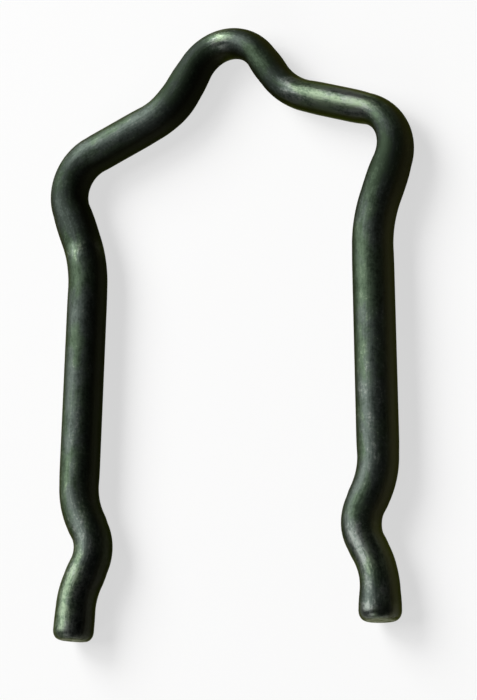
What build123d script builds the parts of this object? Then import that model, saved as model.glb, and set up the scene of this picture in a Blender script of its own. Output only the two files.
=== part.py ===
"""Wire retaining clip: one round spring wire bent flat into a crown, two shoulders and two kinked legs.

The clip lies on its side on the XY plane. Its crown points along +Y, its legs open towards -Y, and the
origin is under the middle of its outline. All sizes are in millimetres.
"""

from build123d import *

import os
from math import atan2, cos

# The wire
wire_dia = 2.0
cut_edge_radius = 0.3

# Across the clip, from the centre of one side's wire to the centre of the other's
neck_span = 7.0
shoulder_span = 20.8
knee_span = 16.8
heel_span = 17.4
tip_span = 17.5
kink_depth = 1.2

# Along the clip, from each corner of the wire's centre line to the next
crown_rise = 5.1
shoulder_fall = 2.5
knee_fall = 5.3
leg_run = 13.1
kink_run = 2.4
tip_run = 2.3

# Bend radii, at the centre of the wire
crown_bend = 2.4
neck_bend = 4.0
shoulder_bend = 2.3
knee_bend = 7.0
heel_bend = 4.0
kink_bend = 2.0
toe_bend = 4.0

# The crown's bend passes under its corner, which leaves the outline a little shorter
flank_angle = atan2(crown_rise, neck_span / 2)
crown_corner_gap = crown_bend * (1 / cos(flank_angle) - 1)

# Levels of the corners, with the middle of the outline at zero
fall_to_tip = crown_rise + shoulder_fall + knee_fall + leg_run + 2 * kink_run + tip_run
clip_length = fall_to_tip - crown_corner_gap + wire_dia / 2
tip_y = -clip_length / 2
toe_y = tip_y + tip_run
kink_y = toe_y + kink_run
heel_y = kink_y + kink_run
knee_y = heel_y + leg_run
shoulder_y = knee_y + knee_fall
neck_y = shoulder_y + shoulder_fall
crown_y = neck_y + crown_rise

# One side of the clip, from the crown down to the cut end, and its mirror image
right_side = [
    (neck_span / 2, neck_y),
    (shoulder_span / 2, shoulder_y),
    (knee_span / 2, knee_y),
    (heel_span / 2, heel_y),
    (heel_span / 2 - kink_depth, kink_y),
    (tip_span / 2, toe_y),
    (tip_span / 2, tip_y),
]
left_side = [(-x, y) for x, y in reversed(right_side)]
corners = left_side + [(0, crown_y)] + right_side

right_bends = [neck_bend, shoulder_bend, knee_bend, heel_bend, kink_bend, toe_bend]
bends = right_bends[::-1] + [crown_bend] + right_bends

# The wire lies on the floor, so its centre line is half a diameter up
with BuildPart() as wire_clip:
    with BuildLine(Plane.XY.offset(wire_dia / 2)) as centre_line:
        FilletPolyline(*corners, radius=bends)
    with BuildSketch(Plane(origin=centre_line.line @ 0, z_dir=centre_line.line % 0)):
        Circle(wire_dia / 2)
    sweep()
    cut_ends = wire_clip.faces().filter_by(GeomType.PLANE)
    fillet(cut_ends.edges(), cut_edge_radius)

wire_clip.part.label = "wire_clip"
os.makedirs("parts", exist_ok=True)
export_step(wire_clip.part, "parts/wire_clip.step")
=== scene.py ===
"""Wire retaining clip: the bent wire with its blackened finish, and the pale table that it lies on.

The clip lies on its side on the XY plane. Its crown points along +Y, its legs open towards -Y, and the
origin is under the middle of its outline. Lengths are in metres, except in the mesh layer "unbent" and in
the blackened finish that reads it, where they are in millimetres.
"""

import math

import bmesh
import bpy
from bpy.props import FloatProperty, FloatVectorProperty, IntProperty, PointerProperty
from mathutils import Matrix, Vector, noise


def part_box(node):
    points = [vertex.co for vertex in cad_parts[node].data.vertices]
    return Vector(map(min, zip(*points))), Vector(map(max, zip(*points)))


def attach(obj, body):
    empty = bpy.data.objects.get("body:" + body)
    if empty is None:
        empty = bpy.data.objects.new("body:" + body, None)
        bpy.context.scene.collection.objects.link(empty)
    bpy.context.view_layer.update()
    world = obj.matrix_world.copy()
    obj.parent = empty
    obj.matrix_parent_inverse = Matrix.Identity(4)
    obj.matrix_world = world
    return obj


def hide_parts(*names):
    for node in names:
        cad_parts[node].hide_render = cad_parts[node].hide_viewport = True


bl_info = {
    "name": "Wire retaining clip",
    "version": (1, 0, 0),
    "blender": (4, 5, 0),
    "location": "3D View > Sidebar > Clip",
    "description": "Bends a spring-wire retaining clip, blackens it and lays it on a pale table",
    "category": "Add Mesh",
}

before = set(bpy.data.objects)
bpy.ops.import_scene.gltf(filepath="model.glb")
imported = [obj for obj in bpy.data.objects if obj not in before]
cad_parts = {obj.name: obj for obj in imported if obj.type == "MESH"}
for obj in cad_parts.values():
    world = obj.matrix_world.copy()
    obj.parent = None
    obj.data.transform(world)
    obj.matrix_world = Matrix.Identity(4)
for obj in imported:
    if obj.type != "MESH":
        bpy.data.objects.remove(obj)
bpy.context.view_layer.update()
CLIP_LOW, CLIP_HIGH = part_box("wire_clip")

MM = 0.001

# How far the crown of the bent wire may lie from the crown of the frame's clip.
CROWN_TOLERANCE = 0.25 * MM

# The rolled edge of a cut end: how many rings make it, and how bare its steel grows before the sheared face.
EDGE_STEPS = 6
EDGE_BARING = 0.6

# The sheared face inside that edge: the insets that divide it, as shares of its radius, the power by which
# its relief fades towards the rim, and the size and the fractal settings of its bumps.
FACE_INSETS = (0.04, 0.16, 0.18, 0.18, 0.18, 0.16)
RIM_FADE = 4
BUMP_SIZE = 0.45 * MM
BUMP_INCREMENT = 0.8
BUMP_LACUNARITY = 2.0
BUMP_OCTAVES = 3

# Shifts that keep one pattern of the finish from following another.
MARKS_SHIFT = (0.0, 3.0, 7.0)
CAST_SHIFT = (11.0, 5.0, 2.0)

# The middle of a noise, which runs from 0 to 1, and where on it one kind of patch gives way to the other.
NOISE_MIDDLE = 0.5
CAST_CHANGE = (0.40, 0.60)
BARE_CHANGE = (0.42, 0.58)

# How worn the oxide is where it is neither dark nor pale.
HALF_WORN = 0.5

# Where the painted shade on the flanks of the wire gives way to its top and underside, and where the darker
# inner flank gives way to the outer one with its painted olive reflection: how far up and how far out, as
# shares of the wire's radius.
FLANK_TOP = (0.50, 0.98)
FLANK_TURN = (0.0, 0.7)

# Where new stops join a ramp, before they are moved to their places.
RAMP_MIDDLE = 0.5

# Sockets of a Mix node in its colour mode: its other modes have sockets with the same names.
MIX_FACTOR = 0
MIX_FIRST = 6
MIX_SECOND = 7
MIX_RESULT = 2


def length(name, description, default):
    """A size in metres, shown in the user's unit of length."""
    return FloatProperty(name=name, description=description, default=default, min=0.0, precision=5,
                         subtype="DISTANCE", unit="LENGTH")


def share(name, description, default):
    """A part of one."""
    return FloatProperty(name=name, description=description, default=default, min=0.0, max=1.0,
                         subtype="FACTOR")


def amount(name, description, default):
    """A plain number."""
    return FloatProperty(name=name, description=description, default=default, min=0.0)


def wattage(name, description, default):
    """The power of a lamp."""
    return FloatProperty(name=name, description=description, default=default, min=0.0, unit="POWER")


def point(name, description, default):
    """A point in the clip's own space."""
    return FloatVectorProperty(name=name, description=description, default=default, size=3, precision=5,
                               subtype="XYZ", unit="LENGTH")


def colour(name, description, default):
    """A linear colour."""
    return FloatVectorProperty(name=name, description=description, default=default, min=0.0, max=1.0,
                               size=3, subtype="COLOR")


class WireSizes(bpy.types.PropertyGroup):
    """Sizes of the bent wire. Spans, runs and radii are those of the line through its centre."""

    wire_dia: length("Wire", "Diameter of the wire", CLIP_HIGH.z - CLIP_LOW.z)
    neck_span: length("Neck span", "Across the clip where the crown meets the shoulders", 7.0 * MM)
    shoulder_span: length("Shoulder span", "Across the clip at the shoulders", 20.8 * MM)
    knee_span: length("Knee span", "Across the clip at the top of the legs", 16.8 * MM)
    heel_span: length("Heel span", "Across the clip above the kinks", 17.4 * MM)
    tip_span: length("Tip span", "Across the clip at the cut ends", 17.5 * MM)
    kink_depth: length("Kink depth", "How far each kink steps in from its leg", 1.2 * MM)
    crown_rise: length("Crown rise", "Along the clip from the neck to the crown's corner", 5.1 * MM)
    shoulder_fall: length("Shoulder fall", "Along the clip from the neck to the shoulder", 2.5 * MM)
    knee_fall: length("Knee fall", "Along the clip from the shoulder to the knee", 5.3 * MM)
    leg_run: length("Leg run", "Along the clip from the knee to the heel", 13.1 * MM)
    kink_run: length("Kink run", "Along the clip down one side of a kink", 2.4 * MM)
    tip_run: length("Tip run", "Along the clip from the toe to the cut end", 2.3 * MM)
    crown_bend: length("Crown bend", "Radius of the crown at the wire's centre", 2.4 * MM)
    neck_bend: length("Neck bend", "Radius of the neck at the wire's centre", 4.0 * MM)
    shoulder_bend: length("Shoulder bend", "Radius of the shoulder at the wire's centre", 2.3 * MM)
    knee_bend: length("Knee bend", "Radius of the knee at the wire's centre", 7.0 * MM)
    heel_bend: length("Heel bend", "Radius above the kink at the wire's centre", 4.0 * MM)
    kink_bend: length("Kink bend", "Radius of the kink at the wire's centre", 2.0 * MM)
    toe_bend: length("Toe bend", "Radius below the kink at the wire's centre", 4.0 * MM)
    coat: length("Coat", "Thickness of the black finish over the wire", 0.025 * MM)
    cut_roll: length("Cut roll", "Length of wire over which each cut end rolls over", 0.50 * MM)
    cut_edge: length("Cut edge", "How far in the roll goes round each cut end", 0.38 * MM)
    cut_relief: length("Cut relief", "Unevenness of the sheared faces", 0.03 * MM)
    left_overrun: length("Left overrun", "How far the left leg runs on past its length", 0.10 * MM)
    right_overrun: length("Right overrun", "How far the right leg runs on past its length", 0.20 * MM)
    tip_lean: length("Tip lean", "How far the left tip leans out over its last run", 0.20 * MM)
    oval: share("Oval", "How much wider than high the wire is, seen along it", 0.05)
    pinch: share("Pinch", "How much a bend as tight as the wire's diameter narrows the wire", 0.06)
    crown_draw: share("Crown draw", "Share of the width lost where the wire is drawn over the crown", 0.22)
    crown_ease: length("Crown ease", "Length of wire over which the drawn crown thins", 4.5 * MM)
    side_draw: share("Side draw", "Share of the width lost between the left shoulder and neck", 0.05)
    side_ease: length("Side ease", "Length of wire over which the drawn side thins", 1.5 * MM)
    toe_draw: share("Toe draw", "Share of the width lost where the wire is drawn at the right toe", 0.09)
    toe_ease: length("Toe ease", "Length of wire over which the drawn toe thins", 2.0 * MM)
    feed_step: length("Feed step", "Spacing of the rings along the straight wire", 0.30 * MM)
    bend_step: length("Bend step", "Spacing of the rings round the bends", 0.12 * MM)
    facets: IntProperty(name="Facets", description="Facets round the wire", default=72, min=12)


class FinishColours(bpy.types.PropertyGroup):
    """Colours of the blackened wire."""

    oxide_dark: colour("Dark oxide", "Where the black oxide is thickest", (0.033, 0.044, 0.035))
    oxide: colour("Oxide", "The black oxide over most of the wire", (0.062, 0.080, 0.066))
    # Along the high burnish marks this pale oxide also stands in for painted highlight.
    oxide_pale: colour("Pale oxide", "Where the oxide is rubbed thin", (0.150, 0.174, 0.148))
    # Painted shade: a near-black colour for the wire's inner flank.
    inner_flank_shade: colour("Inner flank", "The untouched oxide on the side that faces into the clip",
                        (0.010, 0.0096, 0.0052))
    # Painted shade for the wire's outer flank, with a painted olive reflection in it.
    outer_flank_shade_and_reflection: colour("Outer flank", "The browner, rubbed oxide on the side that faces out of the clip",
                        (0.026, 0.025, 0.011))
    moss: colour("Moss cast", "Tint of the greener patches, left by the oil", (0.90, 1.00, 0.80))
    ash: colour("Ash cast", "Tint of the greyer patches", (0.98, 0.94, 1.00))
    bare_steel: colour("Bare steel", "Steel that shows where the oxide is sheared away",
                       (0.250, 0.265, 0.225))
    edge_tint: colour("Edge tint", "Tint of the wire along its outline", (0.45, 0.47, 0.34))


class FinishPatterns(bpy.types.PropertyGroup):
    """Patterns, wear, painted light and shine of the blackened wire."""

    mottle_scale: amount("Mottle scale", "Fineness of the mottling, in patches to the millimetre", 2.2)
    mottle_run: share("Mottle run", "Fineness of the mottling along the wire, against across it", 0.6)
    grain_scale: amount("Grain scale", "Fineness of the oxide's grain", 7.5)
    marks_scale: amount("Marks scale", "Fineness of the drawing marks", 9.0)
    marks_run: share("Marks run", "Fineness of the drawing marks along the wire, against across it", 0.06)
    cast_scale: amount("Cast scale", "Fineness of the greener and greyer patches", 0.9)
    cast_run: share("Cast run", "Fineness of those patches along the wire, against across it", 0.5)
    # This shifts the burnish marks, and the painted highlight and shade that they carry.
    burnish_light_stray: length("Burnish stray", "How far the mottling shifts the burnished places", 0.8 * MM)
    mottle_wear: amount("Mottle wear", "How much the mottling counts in the wear of the oxide", 1.3)
    grain_wear: amount("Grain wear", "How much the grain counts in the wear of the oxide", 1.4)
    marks_wear: amount("Marks wear", "How much the drawing marks count in the wear of the oxide", 0.5)
    flank_shade_cover: share("Flank cover", "How fully the flank colours cover the sides of the wire", 0.93)
    bare_all_over: share("Bare all over", "Share of the steel bared all over the sheared faces", 0.15)
    bare_in_grain: share("Bare in grain", "Share of the steel bared in the grain's lighter half", 0.45)
    bare_in_mottle: share("Bare in mottle", "Share of the steel bared in the mottling's lighter half", 0.40)
    dullness: share("Dullness", "Roughness of the oxide where it is not burnished", 0.70)
    polish: share("Polish", "Roughness that full burnishing takes away", 0.37)
    grain_sheen: share("Grain sheen", "How much the grain changes the roughness", 0.12)
    mottle_sheen: share("Mottle sheen", "How much the mottling changes the roughness", 0.10)
    grain_relief: share("Grain relief", "How high the grain stands in the relief of the finish", 0.6)
    marks_relief: share("Marks relief", "How high the drawing marks stand in that relief", 0.4)
    relief_height: length("Relief height", "Height of the relief of the finish", 0.03 * MM)
    relief_strength: share("Relief strength", "How strongly that relief shows", 0.5)


class StageSizes(bpy.types.PropertyGroup):
    """The table, the lamps and the camera."""

    table_width: length("Table", "Side of the square table top", 1.6)
    table_colour: colour("Table colour", "Colour of the pale table top", (0.90, 0.90, 0.895))
    table_cloud: share("Table clouds", "Brightness of the table's faint clouds, against the rest", 0.985)
    cloud_scale: amount("Cloud scale", "Fineness of the table's clouds", 9.0)
    table_glow: share("Table whitening", "How far the table is brought up to white where it is seen", 0.65)
    key_power: wattage("Key lamp", "Power of the large lamp", 7.5)
    key_width: length("Key width", "Diameter of the large lamp", 0.80)
    key_place: point("Key place", "Where the large lamp hangs", (-0.687, 0.250, 0.682))
    back_power: wattage("Back lamp", "Power of the lower lamp behind the crown", 10.0)
    back_width: length("Back width", "Diameter of the lower lamp", 0.60)
    back_place: point("Back place", "Where the lower lamp stands", (-0.589, 0.610, 0.530))
    fill_power: wattage("Fill lamp", "Power of the weak lamp beyond the cut ends", 1.2)
    fill_width: length("Fill width", "Diameter of the weak lamp", 0.50)
    fill_place: point("Fill place", "Where the weak lamp stands", (-0.433, -0.750, 0.500))
    room_light: amount("Room light", "Light from all sides", 0.012)
    lens: length("Lens", "Focal length of the camera", 135.07 * MM)
    camera_near: length("Camera near", "Distance at which the camera begins to see", 10.0 * MM)
    camera_distance: length("Camera distance", "From the camera to the point it looks at", 135.3 * MM)
    camera_direction: FloatVectorProperty(name="Camera direction", size=3, subtype="DIRECTION",
                                          description="From the clip to the camera",
                                          default=(0.4593, -0.2506, 0.8522))
    camera_target: point("Camera target", "The point the camera looks at",
                         (0.755 * MM, -1.770 * MM, 1.0 * MM))
    camera_roll: FloatProperty(name="Camera roll", description="Turn of the camera about its line of sight",
                               default=0.0088, subtype="ANGLE", unit="ROTATION")


class Shaded:
    """A socket of a material. Arithmetic on it adds the Math nodes that work it out."""

    def __init__(self, finish, socket):
        self.finish = finish
        self.socket = socket

    def maths(self, operation, *terms):
        return self.finish.node("ShaderNodeMath", {"operation": operation}, dict(enumerate(terms)))

    def __add__(self, other):
        return self.maths("ADD", self, other)

    def __radd__(self, other):
        return self.maths("ADD", other, self)

    def __sub__(self, other):
        return self.maths("SUBTRACT", self, other)

    def __rsub__(self, other):
        return self.maths("SUBTRACT", other, self)

    def __mul__(self, other):
        return self.maths("MULTIPLY", self, other)

    def __rmul__(self, other):
        return self.maths("MULTIPLY", other, self)

    def size(self):
        """Its value without its sign."""
        return self.maths("ABSOLUTE", self)

    def larger(self, other):
        return self.maths("MAXIMUM", self, other)

    def swing(self):
        """How far a noise is above or below its middle."""
        return self - NOISE_MIDDLE

    def rise(self, start, end):
        """From 0 at start to 1 at end, smoothly."""
        return self.finish.node("ShaderNodeMapRange", {"interpolation_type": "SMOOTHSTEP"},
                                {"Value": self, "From Min": start, "From Max": end})


class Finish:
    """A material and the nodes that are added to it."""

    def __init__(self, name):
        self.material = bpy.data.materials.new(name)
        self.material.use_nodes = True
        self.tree = self.material.node_tree
        self.tree.nodes.clear()

    def node(self, kind, settings=None, values=None, output=0):
        """Add a node: first its settings, then each socket's value or link. Give one of its outputs."""
        node = self.tree.nodes.new(kind)
        for name, value in (settings or {}).items():
            if name == "stops":
                self.set_stops(node.color_ramp, value)
            else:
                setattr(node, name, value)
        for name, value in (values or {}).items():
            if isinstance(value, Shaded):
                self.tree.links.new(value.socket, node.inputs[name])
            else:
                node.inputs[name].default_value = value
        return Shaded(self, node.outputs[output]) if node.outputs else None

    def set_stops(self, ramp, stops):
        """Grey levels along a ramp, which runs smoothly from each to the next."""
        ramp.interpolation = "EASE"
        missing = len(stops) - len(ramp.elements)
        for _ in range(missing):
            ramp.elements.new(RAMP_MIDDLE)
        for element, (place, level) in zip(ramp.elements, stops):
            element.position = place
            element.color = (level, level, level, 1.0)

    def ramp(self, value, stops):
        return self.node("ShaderNodeValToRGB", {"stops": stops}, {"Fac": value})

    def attribute(self, name, output):
        return self.node("ShaderNodeAttribute", {"attribute_name": name}, output=output)

    def part(self, vector, axis):
        return self.node("ShaderNodeSeparateXYZ", {}, {"Vector": vector}, output=axis)

    def drawn_out(self, vector, run, shift=(0.0, 0.0, 0.0)):
        """A place on the wire with its distance along the wire scaled by run, and then shifted."""
        return self.node("ShaderNodeVectorMath", {"operation": "MULTIPLY_ADD"},
                         {0: vector, 1: (run, 1.0, 1.0), 2: shift})

    def tinted(self, shade, tint):
        return self.node("ShaderNodeVectorMath", {"operation": "MULTIPLY"}, {0: shade, 1: tint})

    def noise(self, vector, scale, detail, roughness):
        return self.node("ShaderNodeTexNoise", {},
                         {"Vector": vector, "Scale": scale, "Detail": detail, "Roughness": roughness})

    def blend(self, factor, first, second):
        """The colour at factor of the way from the first to the second."""
        first, second = (shade if isinstance(shade, Shaded) else (*shade, 1.0)
                         for shade in (first, second))
        return self.node("ShaderNodeMix", {"data_type": "RGBA"},
                         {MIX_FACTOR: factor, MIX_FIRST: first, MIX_SECOND: second}, output=MIX_RESULT)

    def done(self, shader):
        """The material, with this shader as its surface."""
        self.node("ShaderNodeOutputMaterial", {}, {"Surface": shader})
        return self.material


def corner_points(sizes):
    """Corners of the wire's centre line, from the left cut end round the crown to the right one."""
    tip_y = CLIP_LOW.y
    toe_y = tip_y + sizes.tip_run
    kink_y = toe_y + sizes.kink_run
    heel_y = kink_y + sizes.kink_run
    knee_y = heel_y + sizes.leg_run
    shoulder_y = knee_y + sizes.knee_fall
    neck_y = shoulder_y + sizes.shoulder_fall
    crown_y = neck_y + sizes.crown_rise
    right = [
        Vector((sizes.neck_span / 2, neck_y)),
        Vector((sizes.shoulder_span / 2, shoulder_y)),
        Vector((sizes.knee_span / 2, knee_y)),
        Vector((sizes.heel_span / 2, heel_y)),
        Vector((sizes.heel_span / 2 - sizes.kink_depth, kink_y)),
        Vector((sizes.tip_span / 2, toe_y)),
        Vector((sizes.tip_span / 2, tip_y)),
    ]
    left = [Vector((-corner.x, corner.y)) for corner in reversed(right)]

    # The clip is meant to be symmetrical, but on this one the left tip leans out and both legs run on.
    left[0].x -= sizes.tip_lean / 2
    left[1].x += sizes.tip_lean / 2
    left[0].y -= sizes.left_overrun
    right[-1].y -= sizes.right_overrun
    return left + [Vector((0.0, crown_y))] + right


def bend_radii(sizes):
    """The radius at each corner between the cut ends."""
    right = [sizes.neck_bend, sizes.shoulder_bend, sizes.knee_bend, sizes.heel_bend, sizes.kink_bend,
             sizes.toe_bend]
    return right[::-1] + [sizes.crown_bend] + right


def bending_sheet(sizes):
    """What a wire former is told: the feed, radius and turn of each bend, and the last feed."""
    corners = corner_points(sizes)
    runs = [end - start for start, end in zip(corners, corners[1:])]
    headings = [math.atan2(run.y, run.x) for run in runs]
    turns = [math.remainder(after - before, math.tau) for before, after in zip(headings, headings[1:])]
    radii = bend_radii(sizes)
    takes = [0.0] + [radius * math.tan(abs(turn) / 2) for radius, turn in zip(radii, turns)] + [0.0]
    feeds = [run.length - before - after for run, before, after in zip(runs, takes, takes[1:])]
    if min(feeds) < 0:
        raise ValueError("two bends of the wire overlap")
    return list(zip(feeds, radii, turns)), feeds[-1]


def eased(part):
    """From 0 to 1, slow at both ends."""
    part = min(max(part, 0.0), 1.0)
    return part * part * (3.0 - 2.0 * part)


# The bends in their order along the wire.
BENDS = ("left toe", "left kink", "left heel", "left knee", "left shoulder", "left neck", "crown",
         "right neck", "right shoulder", "right knee", "right heel", "right kink", "right toe")


def drawn_stretches(sizes):
    """Where the wire is drawn thinner: from one place to another, by what share and over what length.

    A place is a bend and a share of the way through it. Past 1 it lies beyond that bend.
    """
    return (
        (("left neck", 0.5), ("right shoulder", 1.3), sizes.crown_draw, sizes.crown_ease),
        (("left shoulder", 0.9), ("left neck", 0.8), sizes.side_draw, sizes.side_ease),
        (("right kink", 0.4), ("right toe", 1.5), sizes.toe_draw, sizes.toe_ease),
    )


def ring_of(geometry):
    """The vertices and the edges of the ring that an extrusion or a spin ends on."""
    verts = [item for item in geometry if isinstance(item, bmesh.types.BMVert)]
    ring = set(verts)
    edges = [item for item in geometry
             if isinstance(item, bmesh.types.BMEdge) and ring.issuperset(item.verts)]
    return verts, edges


class WireFormer:
    """Feeds round wire and bends it flat, ring by ring, and then shapes its section and its cut ends.

    The layer "unbent" holds where each point was on the straight wire, in millimetres: how far along the
    wire it was, then to the left and up from its centre. The layer "cut_face" is 1 on the sheared faces
    and 0 away from the cut ends.
    """

    def __init__(self, sizes):
        self.mesh = bmesh.new()
        self.unbent = self.mesh.verts.layers.float_vector.new("unbent")
        self.cut_face = self.mesh.verts.layers.float.new("cut_face")
        self.sizes = sizes
        self.radius = sizes.wire_dia / 2 + sizes.coat
        first, second = corner_points(sizes)[:2]
        self.heading = math.atan2(second.y - first.y, second.x - first.x)
        cut_end = Vector((first.x, first.y, CLIP_LOW.z + self.radius))
        self.place = cut_end + self.direction() * sizes.cut_roll
        self.along = sizes.cut_roll
        self.rings = []
        self.bends = []
        self.start_ring()

    def direction(self):
        return Vector((math.cos(self.heading), math.sin(self.heading), 0.0))

    def left(self):
        return Vector((-math.sin(self.heading), math.cos(self.heading), 0.0))

    def across(self):
        """The wire's own axes at its free end: along it, to its left and up."""
        return Matrix.Translation(self.place) @ Matrix.Rotation(self.heading, 4, "Z")

    def start_ring(self):
        """Stand a ring across the wire, where the rolled edge of the first cut end stops."""
        upright = self.across() @ Matrix.Rotation(math.pi / 2, 4, "Y")
        made = bmesh.ops.create_circle(self.mesh, segments=self.sizes.facets, radius=self.radius,
                                       matrix=upright)
        self.verts = made["verts"]
        self.edges = list(self.mesh.edges)
        self.note_unbent(self.verts, self.across(), self.along)
        self.note_ring()

    def note_ring(self):
        self.rings.append((self.verts, self.across(), self.along))

    def note_unbent(self, verts, across, along):
        for vert in verts:
            reach = across.inverted() @ vert.co
            vert[self.unbent] = Vector((along + reach.x, reach.y, reach.z)) / MM

    def go_on(self, ring, distance):
        """Take the ring that was just made as the wire's free end."""
        self.verts, self.edges = ring
        for vert in self.verts:
            vert[self.unbent] = vert[self.unbent] + Vector((distance / MM, 0.0, 0.0))
        self.along += distance
        self.note_ring()

    def feed(self, distance):
        """Push the wire straight on."""
        count = max(1, round(distance / self.sizes.feed_step))
        step = distance / count
        for _ in range(count):
            ring = ring_of(bmesh.ops.extrude_edge_only(self.mesh, edges=self.edges)["geom"])
            bmesh.ops.translate(self.mesh, vec=self.direction() * step, verts=ring[0])
            self.place = self.place + self.direction() * step
            self.go_on(ring, step)

    def bend(self, radius, turn):
        """Bend the wire by a turn, to the left where it is positive."""
        count = max(2, round(radius * abs(turn) / self.sizes.bend_step))
        centre = self.place + self.left() * math.copysign(radius, turn)
        step = turn / count
        self.bends.append((self.along, self.along + radius * abs(turn), radius))
        for _ in range(count):
            made = bmesh.ops.spin(self.mesh, geom=self.verts + self.edges, cent=centre,
                                  axis=(0.0, 0.0, 1.0), angle=step, steps=1, use_merge=False,
                                  use_duplicate=False)
            self.place = centre + Matrix.Rotation(step, 3, "Z") @ (self.place - centre)
            self.heading += step
            self.go_on(ring_of(made["geom_last"]), radius * abs(step))

    def place_of(self, bend, part):
        """How far along the wire a part of the way through a named bend lies."""
        start, end, _ = self.bends[BENDS.index(bend)]
        return start + part * (end - start)

    def pinched(self, along):
        """The share of the width that the nearest bending pin took here."""
        pinch = 0.0
        for start, end, radius in self.bends:
            outside = max(start - along, along - end, 0.0)
            nearness = max(0.0, 1.0 - outside / self.radius) ** 2
            pinch = max(pinch, nearness * self.sizes.pinch * self.sizes.wire_dia / radius)
        return pinch

    def shape_section(self):
        """Widen the wire a little in the plane of its bends, but narrow it where it is pinched or drawn."""
        stretches = [(self.place_of(*start), self.place_of(*end), share_lost, ease)
                     for start, end, share_lost, ease in drawn_stretches(self.sizes)]
        for verts, across, along in self.rings:
            drawn = sum(share_lost * eased(min(along - start, end - along) / ease)
                        for start, end, share_lost, ease in stretches)
            width = 1.0 + self.sizes.oval - self.pinched(along) - drawn
            bmesh.ops.scale(self.mesh, vec=(1.0, width, 1.0), space=across.inverted(), verts=verts)

    def make_cut_end(self, ring, outward):
        """Roll the edge over at an open end of the wire and close it with a sheared face."""
        verts, across, along = ring
        rim = set(verts)
        edges = [edge for edge in self.mesh.edges if edge.is_boundary and rim.issuperset(edge.verts)]
        axis = across.to_3x3() @ Vector((outward, 0.0, 0.0))
        reach = self.radius
        depth = 0.0
        for step in range(1, EDGE_STEPS + 1):
            part = step / EDGE_STEPS
            turn = math.pi / 2 * part
            next_reach = self.radius - self.sizes.cut_edge * (1.0 - math.cos(turn))
            next_depth = self.sizes.cut_roll * math.sin(turn)
            shrink = next_reach / reach
            verts, edges = ring_of(bmesh.ops.extrude_edge_only(self.mesh, edges=edges)["geom"])
            bmesh.ops.scale(self.mesh, vec=(1.0, shrink, shrink), space=across.inverted(), verts=verts)
            bmesh.ops.translate(self.mesh, vec=axis * (next_depth - depth), verts=verts)
            self.note_unbent(verts, across, along)
            for vert in verts:
                vert[self.cut_face] = EDGE_BARING * part ** 2
            reach = next_reach
            depth = next_depth
        cap = bmesh.ops.contextual_create(self.mesh, geom=edges)["faces"][0]
        self.shear(cap, reach, axis, across, along)

    def shear(self, cap, reach, axis, across, along):
        """Divide the face of a cut end from its rim inwards, and make it dished and uneven."""
        sheared = set()
        for part in FACE_INSETS:
            made = bmesh.ops.inset_region(self.mesh, faces=[cap], thickness=part * reach, depth=0.0,
                                          use_even_offset=True)
            sheared |= {vert for face in made["faces"] for vert in face.verts}
        self.note_unbent(sheared, across, along)
        for vert in sheared:
            vert[self.cut_face] = 1.0
            away = vert[self.unbent].yz.length * MM / reach
            spot = vert.co / BUMP_SIZE + Vector((along / MM, 0.0, 0.0))
            bump = noise.fractal(spot, BUMP_INCREMENT, BUMP_LACUNARITY, BUMP_OCTAVES)
            vert.co -= axis * self.sizes.cut_relief * (1.0 - away ** RIM_FADE) * (1.0 + bump)

    def piece(self, name):
        """Shape the section, make both cut ends and give the finished piece."""
        self.shape_section()
        self.make_cut_end(self.rings[0], -1.0)
        self.make_cut_end(self.rings[-1], 1.0)
        bmesh.ops.recalc_face_normals(self.mesh, faces=self.mesh.faces)
        for face in self.mesh.faces:
            face.smooth = True
        data = bpy.data.meshes.new(name)
        self.mesh.to_mesh(data)
        self.mesh.free()
        piece = bpy.data.objects.new(name, data)
        bpy.context.collection.objects.link(piece)
        return piece


# How bright each place along the wire is, from 0, which is dull, to 1. This is partly burnishing, which
# lowers the roughness. It is partly painted highlight and shade, which lift the oxide's colour towards pale
# where a mark is high and leave it dark where a mark is low. Each mark lies a share of the way through a
# bend, and past 1 it lies beyond that bend.
BURNISH_AND_PAINTED_LIGHT = (
    ("left toe", 0.0, 0.80),
    ("left kink", 0.5, 0.65),
    ("left heel", 1.0, 0.45),
    ("left knee", 0.0, 0.30),
    ("left knee", 0.45, 0.25),
    ("left knee", 0.7, 0.75),
    ("left knee", 1.0, 0.10),
    ("left shoulder", 0.5, 0.10),
    ("left shoulder", 1.0, 0.40),
    ("left neck", 0.1, 0.40),
    ("left neck", 0.9, 0.0),
    ("crown", 0.2, 0.0),
    ("crown", 0.5, 0.90),
    ("crown", 0.7, 0.45),
    ("crown", 1.0, 0.20),
    ("right neck", 0.3, 0.0),
    ("right neck", 0.8, 0.80),
    ("right shoulder", 0.0, 1.0),
    ("right shoulder", 0.2, 0.60),
    ("right shoulder", 0.6, 0.15),
    ("right shoulder", 1.0, 0.0),
    ("right knee", 0.8, 0.35),
    ("right heel", 0.0, 0.50),
    ("right kink", 0.0, 0.40),
    ("right toe", 0.0, 0.90),
    ("right toe", 0.8, 0.60),
    ("right toe", 1.3, 0.55),
    ("right toe", 1.6, 1.0),
)


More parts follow.
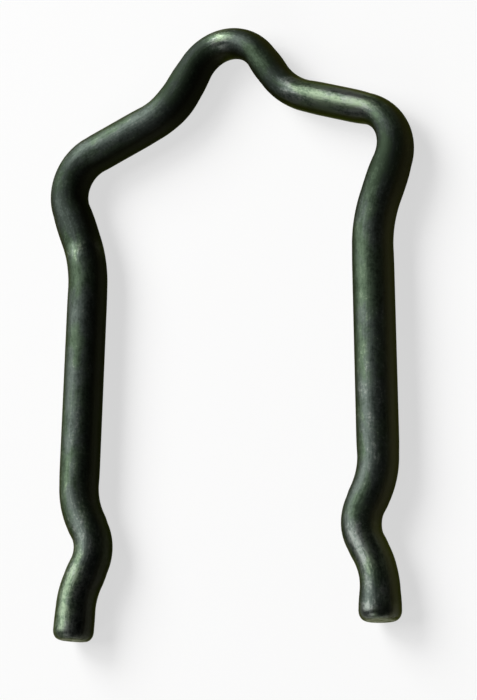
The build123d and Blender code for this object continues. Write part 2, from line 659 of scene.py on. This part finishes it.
def blackened_finish(colours, patterns, burnished_and_painted_light, wire_length, wire_radius):
    """Black oxide on drawn spring wire: mottled and fine-grained, and burnished in places. Painted highlight
    and shade along the wire are in its colour, and painted shade is on its flanks.

    The places in "burnished" and both sizes are in millimetres, as the layer "unbent" is.
    """
    finish = Finish("blackened_wire")
    unbent = finish.attribute("unbent", "Vector")
    cut = finish.attribute("cut_face", "Fac")
    along = finish.part(unbent, "X")
    out = finish.part(unbent, "Y")
    up = finish.part(unbent, "Z")

    mottle = finish.noise(finish.drawn_out(unbent, patterns.mottle_run),
                          scale=patterns.mottle_scale, detail=3.0, roughness=0.6)
    grain = finish.noise(unbent, scale=patterns.grain_scale, detail=3.0, roughness=0.65)
    marks = finish.noise(finish.drawn_out(unbent, patterns.marks_run, MARKS_SHIFT),
                         scale=patterns.marks_scale, detail=2.0, roughness=0.5)
    cast = finish.noise(finish.drawn_out(unbent, patterns.cast_run, CAST_SHIFT),
                        scale=patterns.cast_scale, detail=3.0, roughness=0.6)

    # The oxide, from dark where it is whole to pale where it is rubbed thin. The burnish marks also paint
    # highlight and shade into it, lifting it towards pale or leaving it dark along the wire.
    strayed = along + (patterns.burnish_light_stray / MM) * mottle.swing()
    burnish_and_painted_light = finish.ramp(strayed * (1.0 / wire_length),
                          [(place / wire_length, level) for place, level in burnished_and_painted_light])
    wear_and_painted_light = (burnish_and_painted_light + patterns.mottle_wear * mottle.swing() + patterns.grain_wear * grain.swing()
            + patterns.marks_wear * marks.swing())
    black = finish.blend(wear_and_painted_light.rise(0.0, HALF_WORN), colours.oxide_dark, colours.oxide)
    black = finish.blend(wear_and_painted_light.rise(HALF_WORN, 1.0), black, colours.oxide_pale)
    black = finish.tinted(black, finish.blend(cast.rise(*CAST_CHANGE), colours.moss, colours.ash))

    # Painted shade: the flanks of the wire, which face into the clip and out of it, are darkened nearly to
    # black below its top and underside. The outer flank also carries a painted olive reflection.
    facing_up = (up.size() * (1.0 / wire_radius)).rise(*FLANK_TOP)
    facing_out = (out * (1.0 / wire_radius)).rise(*FLANK_TURN)
    flank_shade = finish.blend(facing_out, colours.inner_flank_shade, colours.outer_flank_shade_and_reflection)
    black = finish.blend(patterns.flank_shade_cover * (1.0 - facing_up), black, flank_shade)

    # The sheared faces, where the steel is bared in patches.
    bare = (patterns.bare_all_over + patterns.bare_in_grain * grain.rise(*BARE_CHANGE)
            + patterns.bare_in_mottle * mottle.rise(*BARE_CHANGE))
    tone = finish.blend(cut * bare, black, colours.bare_steel)

    sheen = (patterns.dullness - patterns.polish * burnish_and_painted_light + patterns.grain_sheen * grain.swing()
             + patterns.mottle_sheen * mottle.swing())
    relief = patterns.grain_relief * grain + patterns.marks_relief * marks
    bumps = finish.node("ShaderNodeBump", {}, {
        "Strength": patterns.relief_strength,
        "Distance": patterns.relief_height,
        "Height": relief,
    })
    shader = finish.node("ShaderNodeBsdfPrincipled", {}, {
        "Base Color": tone,
        "Metallic": 1.0,
        "Roughness": sheen,
        "Normal": bumps,
        "Specular Tint": (*colours.edge_tint, 1.0),
    })
    return finish.done(shader)


def table_finish(stage):
    """A matt pale table, brought up to white where it is seen, with the clip's shadow left on it."""
    finish = Finish("pale_table")
    spot = finish.node("ShaderNodeTexCoord", output="Object")
    cloud = finish.noise(spot, scale=stage.cloud_scale, detail=3.0, roughness=0.5)
    dimmer = tuple(stage.table_cloud * part for part in stage.table_colour)
    top = finish.blend(cloud, stage.table_colour, dimmer)
    matt = finish.node("ShaderNodeBsdfDiffuse", {}, {"Color": top})
    white = finish.node("ShaderNodeEmission", {}, {"Strength": 1.0})
    seen = finish.node("ShaderNodeLightPath", output="Is Camera Ray")
    mirrored = finish.node("ShaderNodeLightPath", output="Is Glossy Ray")
    passed = finish.node("ShaderNodeLightPath", output="Is Transmission Ray")
    shown = seen.larger(mirrored).larger(passed)
    return finish.done(finish.node("ShaderNodeMixShader", {},
                                   {0: stage.table_glow * shown, 1: matt, 2: white}))


class BendWire(bpy.types.Operator):
    """Bend the clip out of one wire and blacken it"""

    bl_idname = "retaining_clip.bend_wire"
    bl_label = "Bend the wire"

    def execute(self, context):
        scene = context.scene
        sizes = scene.clip_wire
        bends, last_feed = bending_sheet(sizes)
        former = WireFormer(sizes)
        spent = sizes.cut_roll
        for feed, radius, turn in bends:
            former.feed(feed - spent)
            former.bend(radius, turn)
            spent = 0.0
        former.feed(last_feed - sizes.cut_roll)
        wire_length = former.along + sizes.cut_roll
        burnished_and_painted_light = [(former.place_of(bend, part) / MM, level) for bend, part, level in BURNISH_AND_PAINTED_LIGHT]
        wire = former.piece("bent_wire")
        crown = max(corner[1] for corner in wire.bound_box)
        if abs(crown - CLIP_HIGH.y) > CROWN_TOLERANCE:
            raise RuntimeError("the crown of the bent wire is not where the frame's clip has it")
        wire.data.materials.append(blackened_finish(scene.clip_colours, scene.clip_patterns, burnished_and_painted_light,
                                                    wire_length / MM, former.radius / MM))
        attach(wire, "root")
        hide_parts("wire_clip")
        return {"FINISHED"}


class SetStage(bpy.types.Operator):
    """Lay the table, hang the lamps and set up the camera"""

    bl_idname = "retaining_clip.set_stage"
    bl_label = "Set the stage"

    def execute(self, context):
        scene = context.scene
        stage = scene.clip_stage
        self.lay_table(context, stage)
        self.hang_lamp(context, "key_lamp", stage.key_place, stage.key_width, stage.key_power)
        self.hang_lamp(context, "back_lamp", stage.back_place, stage.back_width, stage.back_power)
        self.hang_lamp(context, "fill_lamp", stage.fill_place, stage.fill_width, stage.fill_power)
        self.light_room(scene, stage)
        self.place_camera(context, stage)
        scene.view_settings.view_transform = "Standard"
        return {"FINISHED"}

    def lay_table(self, context, stage):
        mesh = bmesh.new()
        bmesh.ops.create_grid(mesh, x_segments=1, y_segments=1, size=stage.table_width / 2)
        data = bpy.data.meshes.new("table_top")
        mesh.to_mesh(data)
        mesh.free()
        data.materials.append(table_finish(stage))
        table = bpy.data.objects.new("table_top", data)
        context.collection.objects.link(table)

    def hang_lamp(self, context, name, place, width, power):
        """A round soft lamp that faces the clip."""
        lamp = bpy.data.lights.new(name, "AREA")
        lamp.shape = "DISK"
        lamp.size = width
        lamp.energy = power
        holder = bpy.data.objects.new(name, lamp)
        place = Vector(place)
        facing = place.to_track_quat("Z", "Y").to_matrix().to_4x4()
        holder.matrix_world = Matrix.Translation(place) @ facing
        context.collection.objects.link(holder)

    def light_room(self, scene, stage):
        world = bpy.data.worlds.new("room")
        world.use_nodes = True
        background = world.node_tree.nodes["Background"]
        background.inputs["Color"].default_value = (1.0, 1.0, 1.0, 1.0)
        background.inputs["Strength"].default_value = stage.room_light
        scene.world = world

    def place_camera(self, context, stage):
        camera = bpy.data.cameras.new("camera")
        camera.lens = stage.lens / MM
        camera.clip_start = stage.camera_near
        back = Vector(stage.camera_direction).normalized()
        along_clip = Vector((0.0, 1.0, 0.0))
        up = (along_clip - along_clip.dot(back) * back).normalized()
        right = up.cross(back)
        upright = Matrix((right, up, back)).transposed().to_4x4()
        place = Vector(stage.camera_target) + back * stage.camera_distance
        holder = bpy.data.objects.new("camera", camera)
        holder.matrix_world = (Matrix.Translation(place) @ upright
                               @ Matrix.Rotation(stage.camera_roll, 4, "Z"))
        context.collection.objects.link(holder)
        context.scene.camera = holder


class ClipPanel(bpy.types.Panel):
    """Shows the clip's two buttons and its sizes, colours and patterns"""

    bl_idname = "VIEW3D_PT_retaining_clip"
    bl_label = "Retaining clip"
    bl_space_type = "VIEW_3D"
    bl_region_type = "UI"
    bl_category = "Clip"

    def draw(self, context):
        scene = context.scene
        wire_groups = (scene.clip_wire, scene.clip_colours, scene.clip_patterns)
        for operator, groups in ((BendWire, wire_groups), (SetStage, (scene.clip_stage,))):
            box = self.layout.box()
            box.operator(operator.bl_idname)
            for group in groups:
                for name in group.__annotations__:
                    box.prop(group, name)


GROUPS = {
    "clip_wire": WireSizes,
    "clip_colours": FinishColours,
    "clip_patterns": FinishPatterns,
    "clip_stage": StageSizes,
}
CLASSES = (*GROUPS.values(), BendWire, SetStage, ClipPanel)


def register():
    for made in CLASSES:
        bpy.utils.register_class(made)
    for name, group in GROUPS.items():
        setattr(bpy.types.Scene, name, PointerProperty(type=group))


def unregister():
    for name in GROUPS:
        delattr(bpy.types.Scene, name)
    for made in reversed(CLASSES):
        bpy.utils.unregister_class(made)


def main():
    register()
    bpy.ops.retaining_clip.bend_wire()
    bpy.ops.retaining_clip.set_stage()


if __name__ == "__main__":
    main()
